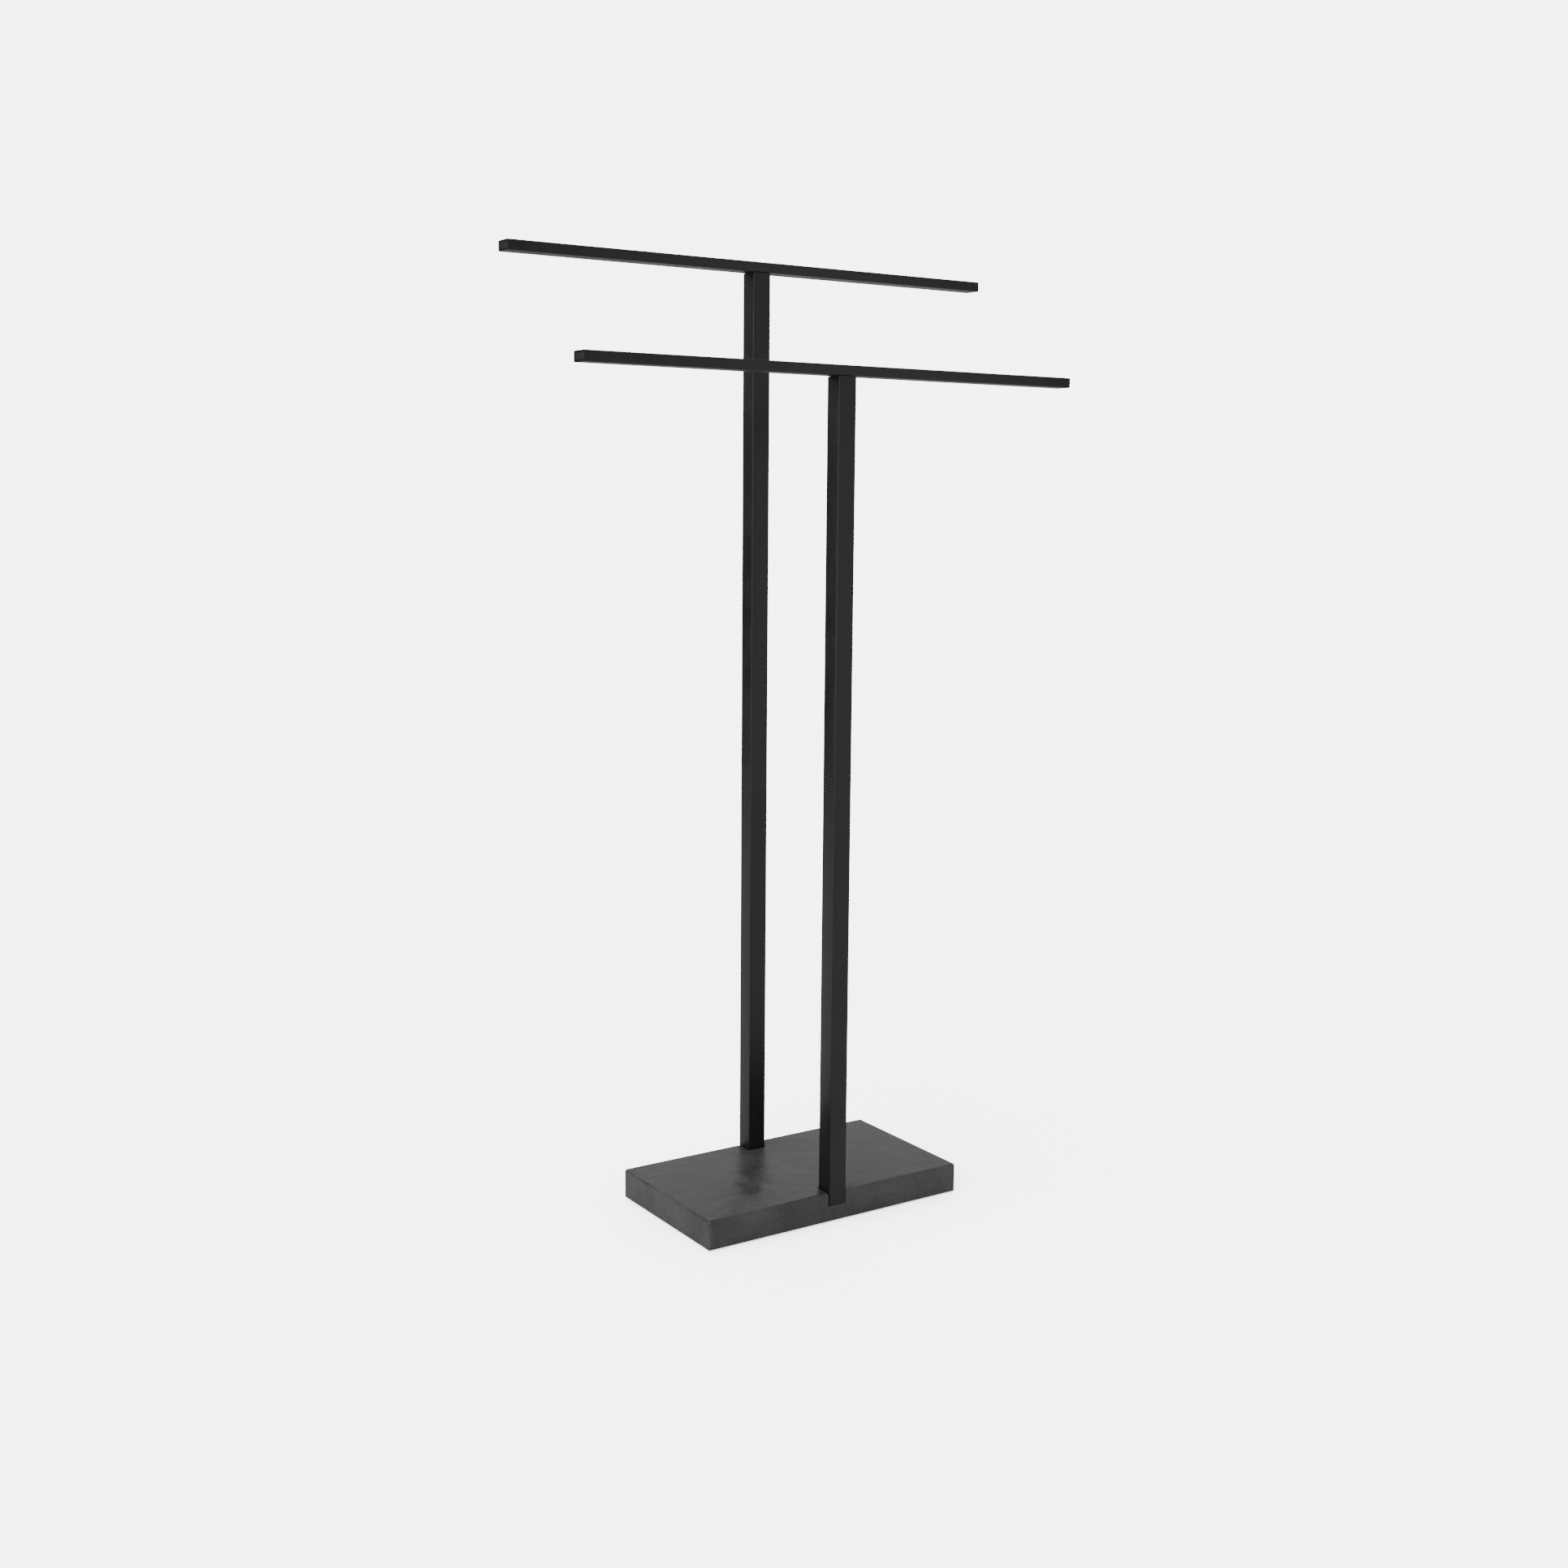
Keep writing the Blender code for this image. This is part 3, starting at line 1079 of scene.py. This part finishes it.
@dataclass
class FootPads:
    """The four rubber pads below the slab.

    Attributes:
        rim: Rounding of a pad's lower edge.
        rim_angles: Degrees round that edge at which its points stand.
        ring_count: Number of grip rings on its underside.
        ring_pitch: Distance between them.
        ring_radius: Radius of a ring's bead.
    """

    rim: float = 0.8 * MM
    rim_angles: tuple[float, ...] = (0.0, 15.0, 30.0, 45.0, 60.0, 75.0, 90.0)
    ring_count: int = 4
    ring_pitch: float = 2.4 * MM
    ring_radius: float = 0.35 * MM

    def build(self) -> list[Item]:
        """Make one pad in each corner."""
        return [self.pad(end.pad(side)) for end in End for side in Side]

    def pad(self, node: str) -> Item:
        """Make one pad, a turned disc with rings that stand out of a shallow dish.

        Args:
            node: The pad's node.

        Returns:
            The piece.
        """
        room = Room.of(node)
        dish = self.ring_radius
        rim = self.rim
        lip = room.radius - 2 * rim
        rounding = [
            (room.radius - rim + rim * math.sin(turn), rim - rim * math.cos(turn))
            for turn in map(math.radians, self.rim_angles)
        ]
        profile = [
            (0.0, room.height),
            (room.radius, room.height),
            *reversed(rounding),
            (lip, 0.0),
            (lip - dish, dish),
            (0.0, dish),
        ]
        pad = turned(node.replace("foot_pad", "pad"), profile, room.foot)
        rings = ring_recipe().run(
            "rings",
            MOULDED_RUBBER,
            Matrix.Translation(room.foot + Vector((0.0, 0.0, dish))),
            Count=self.ring_count,
            Pitch=self.ring_pitch,
            Thickness=self.ring_radius,
        )
        return publish(joined(pad, rings), MOULDED_RUBBER, node)


@dataclass(frozen=True)
class Tube:
    """A coated tube of square or flat section.

    Attributes:
        wall: Thickness of its wall.
        corner: Radius of its outer corners.
        inner_corner: Radius of its inner corners.
        corner_steps: Points along each corner.
        edge: Rounding of its cut ends, where the coating has flowed over them.
    """

    wall: float
    corner: float = 1.0 * MM
    inner_corner: float = 0.5 * MM
    corner_steps: int = 6
    edge: float = 0.25 * MM

    def make(
        self,
        node: str,
        place: Matrix,
        size: tuple[float, float, float],
        tools: Sequence[Item] = (),
    ) -> Item:
        """Draw the tube out, pierce it, round its cut edges and dress it.

        Args:
            node: Its node.
            place: Where it goes.
            size: Width, depth and length.
            tools: Shapes that are cut out of it.

        Returns:
            The piece.
        """
        width, depth, length = size
        tube = tube_recipe().run(
            node + "_tube",
            POWDER_COAT,
            place,
            Width=width,
            Depth=depth,
            Length=length,
            Wall=self.wall,
            Corner=self.corner,
            Inner_Corner=self.inner_corner,
            Corner_Steps=self.corner_steps,
        )
        for tool in tools:
            cut(tube, tool)
        return publish(soften(tube, self.edge), POWDER_COAT, node)


@dataclass(frozen=True)
class Screw:
    """One kind of screw, with a hexagon socket.

    Attributes:
        finish: What it wears.
        slot: Its slot in the record; not used.
        shank_radius: Radius of its shank, over the thread.
        pitch: Climb of the thread in one turn.
        ridge: Height of the thread above the core.
        socket_flats: Width of the socket.
        socket_depth: Depth of the socket.
        edge: Rounding of its edges.
        tip: Chamfer at its tip.
    """

    finish: Finish
    slot: Slot
    shank_radius: float
    pitch: float
    ridge: float
    socket_flats: float
    socket_depth: float
    edge: float
    tip: float = 0.6 * MM

    @property
    def core(self) -> float:
        """Radius of the core below the thread."""
        return self.shank_radius - self.ridge

    def make(
        self,
        name: str,
        node: str,
        profile: Sequence[tuple[float, float]],
        sink: tuple[float, float],
        wind: tuple[float, float],
    ) -> Item:
        """Turn the screw, sink its socket and wind its thread.

        Args:
            name: The piece's name.
            node: Its node.
            profile: Its outline as radius and height.
            sink: Height at which the socket's tool starts, and the tool's height.
            wind: Height at which the thread starts, and the thread's length.

        Returns:
            The piece.
        """
        foot = Room.of(node).foot
        screw = turned(name, profile, foot)
        start, height = sink
        corner = self.socket_flats / math.sqrt(3)
        cut(screw, prism("socket", corner, foot + Vector((0.0, 0.0, start)), height, sides=6))
        soften(screw, self.edge)
        start, length = wind
        thread = thread_recipe().run(
            "thread",
            self.finish,
            Matrix.Translation(foot + Vector((0.0, 0.0, start))),
            Radius=self.core,
            Length=length,
            Pitch=self.pitch,
            Ridge=self.ridge,
        )
        return publish(joined(screw, thread), self.finish, node)


def zinc_ring(node: str, ring: Sequence[tuple[float, float]]) -> Item:
    """Make a turned ring of zinc-plated steel, with its edges broken.

    Args:
        node: Its node.
        ring: Its section as radius and height.

    Returns:
        The piece.
    """
    item = turned(node + "_ring", ring, Room.of(node).foot, closed=True)
    return publish(soften(item, BROKEN_EDGE), ZINC_PLATE, node)


@dataclass
class Upright:
    """One post: its square tube and the threaded plugs in its foot and head.

    Attributes:
        end: The side of the slab that it stands on.
        section: The tube's section.
        bore_mouth: Widening of a plug's bore at its open ends.
    """

    end: End
    section: Tube = Tube(wall=1.5 * MM)
    bore_mouth: float = 0.6 * MM

    def build(self) -> list[Item]:
        """Make the plugs and the tube."""
        return [*(self.plug(place) for place in PostPlug), self.tube()]

    def tube(self) -> Item:
        """Make the post's tube.

        Returns:
            The piece.
        """
        room = Room.of(self.end.post)
        size = (room.width, room.depth, room.height)
        return self.section.make(self.end.post, Matrix.Translation(room.foot), size)

    def plug(self, place: PostPlug) -> Item:
        """Make one threaded plug, a square block with a bore along it.

        Args:
            place: Which end of the post it closes.

        Returns:
            The piece.
        """
        node = f"{self.end.post}_{place.word}_plug"
        room = Room.of(node)
        plug = box_between(node + "_block", room.low, room.high)
        cut(plug, prism("bore", place.bore, room.under, room.height + 2 * CUT_MARGIN))
        soften(plug, self.bore_mouth)
        return publish(plug, EXTRUDED_ALUMINIUM, node)


@dataclass
class Rail:
    """One bar: its flat tube, the plugs in its ends, and the screw and spacer at its middle.

    Attributes:
        end: The side of the slab that its post stands on.
        section: The tube's section.
        fixing: The countersunk screw.
        clearance: Gap round the screw.
        head_land: Height of the straight rim of the screw's head.
    """

    end: End
    section: Tube = Tube(wall=1.2 * MM)
    fixing: Screw = Screw(
        finish=BLACK_OXIDE,
        slot=Slot.BLACK_OXIDE,
        shank_radius=2.5 * MM,
        pitch=0.8 * MM,
        ridge=0.22 * MM,
        socket_flats=3.0 * MM,
        socket_depth=1.8 * MM,
        edge=0.12 * MM,
    )
    clearance: float = 0.3 * MM
    head_land: float = 1.3 * MM
    head: Room = field(init=False)

    def __post_init__(self) -> None:
        """Look up the screw's place."""
        self.head = Room.of(self.end.bar + "_screw")

    def build(self) -> list[Item]:
        """Make the bar and what is in it."""
        plugs = [EndPlug(f"{self.end.bar}_end_plug_{side.word}", side).build() for side in Side]
        return [self.tube(), *plugs, self.spacer(), self.screw()]

    def tube(self) -> Item:
        """Make the bar's tube, pierced for its screw.

        Returns:
            The piece.
        """
        room = Room.of(self.end.bar)
        middle = room.centre
        start = Matrix.Translation((room.low.x, middle.y, middle.z))
        turn = Matrix.Rotation(math.pi / 2, 4, "Y")
        size = (room.height, room.depth, room.width)
        below = middle - Vector((0.0, 0.0, CUT_MARGIN))
        shank_radius = self.fixing.shank_radius + self.clearance
        tools = (
            prism("head_hole", self.head.radius + self.clearance, middle, CUT_MARGIN),
            prism("shank_hole", shank_radius, below, CUT_MARGIN),
        )
        return self.section.make(self.end.bar, start @ turn, size, tools)

    def spacer(self) -> Item:
        """Make the ring that keeps the bar's walls apart, with a cone for the screw's head.

        Returns:
            The piece.
        """
        node = self.end.bar + "_spacer"
        room = Room.of(node)
        bore = self.fixing.shank_radius + self.clearance
        mouth = self.head.radius + 2 * self.clearance
        ring = (
            (mouth, room.height),
            (room.radius, room.height),
            (room.radius, 0.0),
            (bore, 0.0),
            (bore, room.height - (mouth - bore)),
        )
        return zinc_ring(node, ring)

    def screw(self) -> Item:
        """Make the countersunk screw.

        Returns:
            The piece.
        """
        kind = self.fixing
        height = self.head.height
        cone_top = height - self.head_land
        cone_bottom = cone_top - (self.head.radius - kind.shank_radius)
        profile = (
            (0.0, height),
            (self.head.radius, height),
            (self.head.radius, cone_top),
            (kind.core, cone_bottom),
            (kind.core, kind.tip),
            (kind.core - kind.tip, 0.0),
            (0.0, 0.0),
        )
        return kind.make(
            self.end.bar + "_countersunk_screw",
            self.end.bar + "_screw",
            profile,
            (height - kind.socket_depth, CUT_MARGIN),
            (kind.tip + kind.ridge, cone_bottom - kind.tip - 4 * kind.ridge),
        )


@dataclass
class EndPlug:
    """The moulded plug in one end of a bar: a shallow cap, a hollow tongue and the fins on it.

    Attributes:
        node: Its node.
        side: Which end of the bar it closes.
        face: Thickness of the cap.
        edge: Rounding of the cap.
        edge_steps: Steps across that rounding.
        neck: How much smaller than the cap the tongue is, all round.
        fin_root: How far inside the cap's section the fins start.
        wall: Thickness of the tongue's wall.
        fin_count: Number of fins on the tongue.
        fin_thickness: Thickness of one fin.
    """

    node: str
    side: Side
    face: float = 3.0 * MM
    edge: float = 0.5 * MM
    edge_steps: int = 3
    neck: float = 0.5 * MM
    fin_root: float = 0.75 * MM
    wall: float = 1.2 * MM
    fin_count: int = 4
    fin_thickness: float = 0.7 * MM

    def build(self) -> Item:
        """Make the plug.

        Returns:
            The piece.
        """
        room = Room.of(self.node)
        facing = self.side.value
        outer, inner = (room.high.x, room.low.x) if facing > 0 else (room.low.x, room.high.x)
        back = outer - facing * self.face
        open_end = inner - facing * CUT_MARGIN
        cap = self.block(room, outer, back, 0.0)
        soften(cap, self.edge, self.edge_steps)
        tongue = self.block(room, outer - facing * self.face / 2, inner, self.neck)
        cut(tongue, self.block(room, back, open_end, self.neck + self.wall))
        pitch = (abs(inner - outer) - self.face) / self.fin_count
        first = outer - facing * (self.face + pitch / 2)
        fins = rib_recipe().run(
            "fins",
            MOULDED_NYLON,
            Matrix.Translation((first, room.centre.y, room.centre.z)),
            Count=self.fin_count,
            Pitch=-facing * pitch,
            Thickness=self.fin_thickness,
            Depth=room.depth,
            Height=room.height,
        )
        cut(fins, self.block(room, back, open_end, self.fin_root))
        cap.name = self.node + "_moulding"
        joined(joined(cap, tongue), fins)
        return publish(cap, MOULDED_NYLON, self.node)

    def block(self, room: Room, start: float, stop: float, inset: float) -> Item:
        """Make a box along X that is smaller than the plug's section by an inset.

        Args:
            room: The plug's box.
            start: Where the box starts along X.
            stop: Where it stops.
            inset: How far inside the section its faces are.

        Returns:
            The box.
        """
        gap = Vector((0.0, inset, inset))
        first = Vector((min(start, stop), room.low.y, room.low.z)) + gap
        last = Vector((max(start, stop), room.high.y, room.high.z)) - gap
        return box_between("block", first, last)


@dataclass
class BaseFixing:
    """The screw that holds a post from below the slab, and its washer.

    Attributes:
        end: The side of the slab that it is on.
        fixing: The cap screw.
        head_height: Height of the screw's head.
        clearance: Gap between the screw and the washer.
    """

    end: End
    fixing: Screw = Screw(
        finish=ZINC_PLATE,
        slot=Slot.ZINC_STEEL,
        shank_radius=3.0 * MM,
        pitch=1.0 * MM,
        ridge=0.25 * MM,
        socket_flats=4.0 * MM,
        socket_depth=2.0 * MM,
        edge=0.2 * MM,
    )
    head_height: float = 4.0 * MM
    clearance: float = 0.3 * MM

    def build(self) -> list[Item]:
        """Make the screw and the washer."""
        return [self.screw(), self.washer()]

    def washer(self) -> Item:
        """Make the washer.

        Returns:
            The piece.
        """
        node = f"{self.end.word}_base_washer"
        room = Room.of(node)
        bore = self.fixing.shank_radius + self.clearance
        ring = ((bore, room.height), (room.radius, room.height), (room.radius, 0.0), (bore, 0.0))
        return zinc_ring(node, ring)

    def screw(self) -> Item:
        """Make the cap screw, head down.

        Returns:
            The piece.
        """
        kind = self.fixing
        node = f"{self.end.word}_base_screw"
        room = Room.of(node)
        profile = (
            (0.0, room.height),
            (kind.core - kind.tip, room.height),
            (kind.core, room.height - kind.tip),
            (kind.core, self.head_height),
            (room.radius, self.head_height),
            (room.radius, 0.0),
            (0.0, 0.0),
        )
        return kind.make(
            node + "_cap",
            node,
            profile,
            (-CUT_MARGIN, CUT_MARGIN + kind.socket_depth),
            (
                self.head_height + 2 * kind.ridge,
                room.height - self.head_height - kind.tip - 3 * kind.ridge,
            ),
        )


# ---- Studio -------------------------------------------------------------------


@dataclass(frozen=True)
class Glow:
    """One soft patch of light in the studio's sky.

    Attributes:
        name: Its name.
        towards: Direction of its middle.
        rim: Cosine of the angle from its middle at which it has faded out.
        core: Cosine of the angle at which it is at full strength.
        strength: Its strength.
    """

    name: str
    towards: tuple[float, float, float]
    rim: float
    core: float
    strength: float

    def build(self, tree: Tree, direction: Socket) -> Socket:
        """Add the patch to the sky's tree.

        Args:
            tree: The sky's tree.
            direction: Socket with the direction that is looked at.

        Returns:
            The patch's strength in that direction.
        """
        middle = Vector(self.towards).normalized()
        pair = {0: direction, 1: middle}
        near = add(tree, "ShaderNodeVectorMath", {"operation": "DOT_PRODUCT"}, pair)
        spread = {
            "Value": near.outputs["Value"],
            "From Min": self.rim,
            "From Max": self.core,
            "To Max": self.strength,
        }
        patch = add(tree, "ShaderNodeMapRange", {"interpolation_type": "SMOOTHSTEP"}, spread)
        patch.label = self.name
        return patch.outputs["Result"]


@dataclass
class Studio:
    """A plain white floor before a plain white backdrop, with soft light all round and the camera.

    Attributes:
        camera_place: Where the camera stands.
        turn: Degrees that it is turned from +Y towards +X.
        tilt: Degrees that it looks down.
        roll: Degrees that it is rolled.
        lens: Focal length in millimetres on the sensor below.
        sensor: Width of the sensor in millimetres.
        floor_half: Half the floor's side.
        floor_tone: Colour of the floor as it lights the object.
        floor_fade: Distances at which the floor starts and ends to pass into the backdrop.
        floor_gain: How strongly the floor shows the light and the shadows on it.
        floor_own: Strength of the floor's own white.
        white: Strength of the backdrop.
        ambient: Strength of the even part of the sky.
        glows: The soft patches in the sky.
    """

    camera_place: tuple[float, float, float] = (-1.0381, -1.5533, 0.7160)
    turn: float = 33.439
    tilt: float = 8.484
    roll: float = 0.458
    lens: float = 42.577
    sensor: float = 36.0
    floor_half: float = 2.2
    floor_tone: str = "#F0F0F0"
    floor_fade: tuple[float, float] = (0.5, 2.0)
    floor_gain: float = 7.0
    floor_own: float = 1.2
    white: float = 6.0
    ambient: float = 0.02
    glows: tuple[Glow, ...] = (
        Glow("overhead", (0.0, 0.0, 1.0), 0.0, 1.0, 0.46),
        Glow("left", (-0.96, -0.26, 0.15), 0.42, 1.0, 1.74),
        Glow("front_right", (0.545, -0.825, -0.1), 0.72, 1.0, 0.72),
        Glow("back_right", (0.545, 0.825, 0.25), 0.4, 1.0, 0.48),
    )

    def build(self) -> None:
        """Set up the floor, the sky and the camera."""
        self.floor()
        self.sky()
        self.camera()

    def shown_white(self, tree: Tree, hidden: Socket, shown: Socket) -> Socket:
        """Show one shader to the lens and let another do the lighting.

        Args:
            tree: The tree that gets the nodes.
            hidden: The shader that lights the object.
            shown: The shader that is seen.

        Returns:
            The joined shader's socket.
        """
        seen = add(tree, "ShaderNodeLightPath").outputs["Is Camera Ray"]
        return add(tree, "ShaderNodeMixShader", inputs={0: seen, 1: hidden, 2: shown}).outputs[0]

    def floor(self) -> None:
        """Lay the floor: matt, and as white as the backdrop, with a faint shadow on it."""
        work = bmesh.new()
        bmesh.ops.create_grid(work, x_segments=1, y_segments=1, size=self.floor_half)
        floor = from_bmesh("floor", work)
        material = bpy.data.materials.new("matt_white_floor")
        material.use_nodes = True
        tree = material.node_tree
        tree.nodes.clear()
        matt = add(tree, "ShaderNodeBsdfDiffuse", inputs={"Color": linear(self.floor_tone)})
        gain = (self.floor_gain, self.floor_gain, self.floor_gain, 1.0)
        shaded = add(tree, "ShaderNodeBsdfDiffuse", inputs={"Color": gain}).outputs[0]
        own = add(tree, "ShaderNodeEmission", inputs={"Strength": self.floor_own}).outputs[0]
        near = add(tree, "ShaderNodeAddShader", inputs={0: shaded, 1: own}).outputs[0]
        far = add(tree, "ShaderNodeEmission", inputs={"Strength": self.white}).outputs[0]
        place = add(tree, "ShaderNodeTexCoord").outputs["Object"]
        reach = add(tree, "ShaderNodeVectorMath", {"operation": "LENGTH"}, {0: place})
        start, end = self.floor_fade
        spread = {"Value": reach.outputs["Value"], "From Min": start, "From Max": end}
        fade = add(tree, "ShaderNodeMapRange", {"interpolation_type": "SMOOTHSTEP"}, spread)
        both = add(tree, "ShaderNodeMixShader", inputs={0: fade.outputs["Result"], 1: near, 2: far})
        surface = self.shown_white(tree, matt.outputs[0], both.outputs[0])
        add(tree, "ShaderNodeOutputMaterial", inputs={"Surface": surface})
        floor.data.materials.append(material)

    def sky(self) -> None:
        """Light the scene from the sky's patches, and show plain white behind the object."""
        world = bpy.data.worlds.new("studio_sky")
        world.use_nodes = True
        tree = world.node_tree
        tree.nodes.clear()
        direction = add(tree, "ShaderNodeTexCoord").outputs["Generated"]
        total: Any = self.ambient
        for glow in self.glows:
            pair = {0: total, 1: glow.build(tree, direction)}
            total = add(tree, "ShaderNodeMath", {"operation": "ADD"}, pair).outputs[0]
        plain = linear("#FFFFFF")
        light, backdrop = (
            add(tree, "ShaderNodeBackground", inputs={"Color": plain, "Strength": strength})
            for strength in (total, self.white)
        )
        surface = self.shown_white(tree, light.outputs[0], backdrop.outputs[0])
        add(tree, "ShaderNodeOutputWorld", inputs={"Surface": surface})
        bpy.context.scene.world = world

    def camera(self) -> None:
        """Stand the camera in its place."""
        turn, tilt, roll = (math.radians(angle) for angle in (self.turn, self.tilt, self.roll))
        forward = Vector(
            (math.sin(turn) * math.cos(tilt), math.cos(turn) * math.cos(tilt), -math.sin(tilt))
        )
        level = Vector((math.cos(turn), -math.sin(turn), 0.0))
        upright = level.cross(forward)
        right = math.cos(roll) * level + math.sin(roll) * upright
        up = math.cos(roll) * upright - math.sin(roll) * level
        data = bpy.data.cameras.new("camera")
        data.sensor_width = self.sensor
        data.lens = self.lens
        data.clip_end = VIEW_END
        camera = bpy.data.objects.new("camera", data)
        pose = Matrix((right, up, -forward)).transposed().to_4x4()
        camera.matrix_world = Matrix.Translation(self.camera_place) @ pose
        bpy.context.scene.collection.objects.link(camera)
        bpy.context.scene.camera = camera


def main() -> None:
    """Build every sub-assembly in order, then the studio."""
    logging.basicConfig(level=logging.INFO, format="%(message)s")
    Slab().build()
    FootPads().build()
    for end in End:
        Upright(end).build()
        Rail(end).build()
        BaseFixing(end).build()
    Studio().build()


if __name__ == "__main__":
    main()
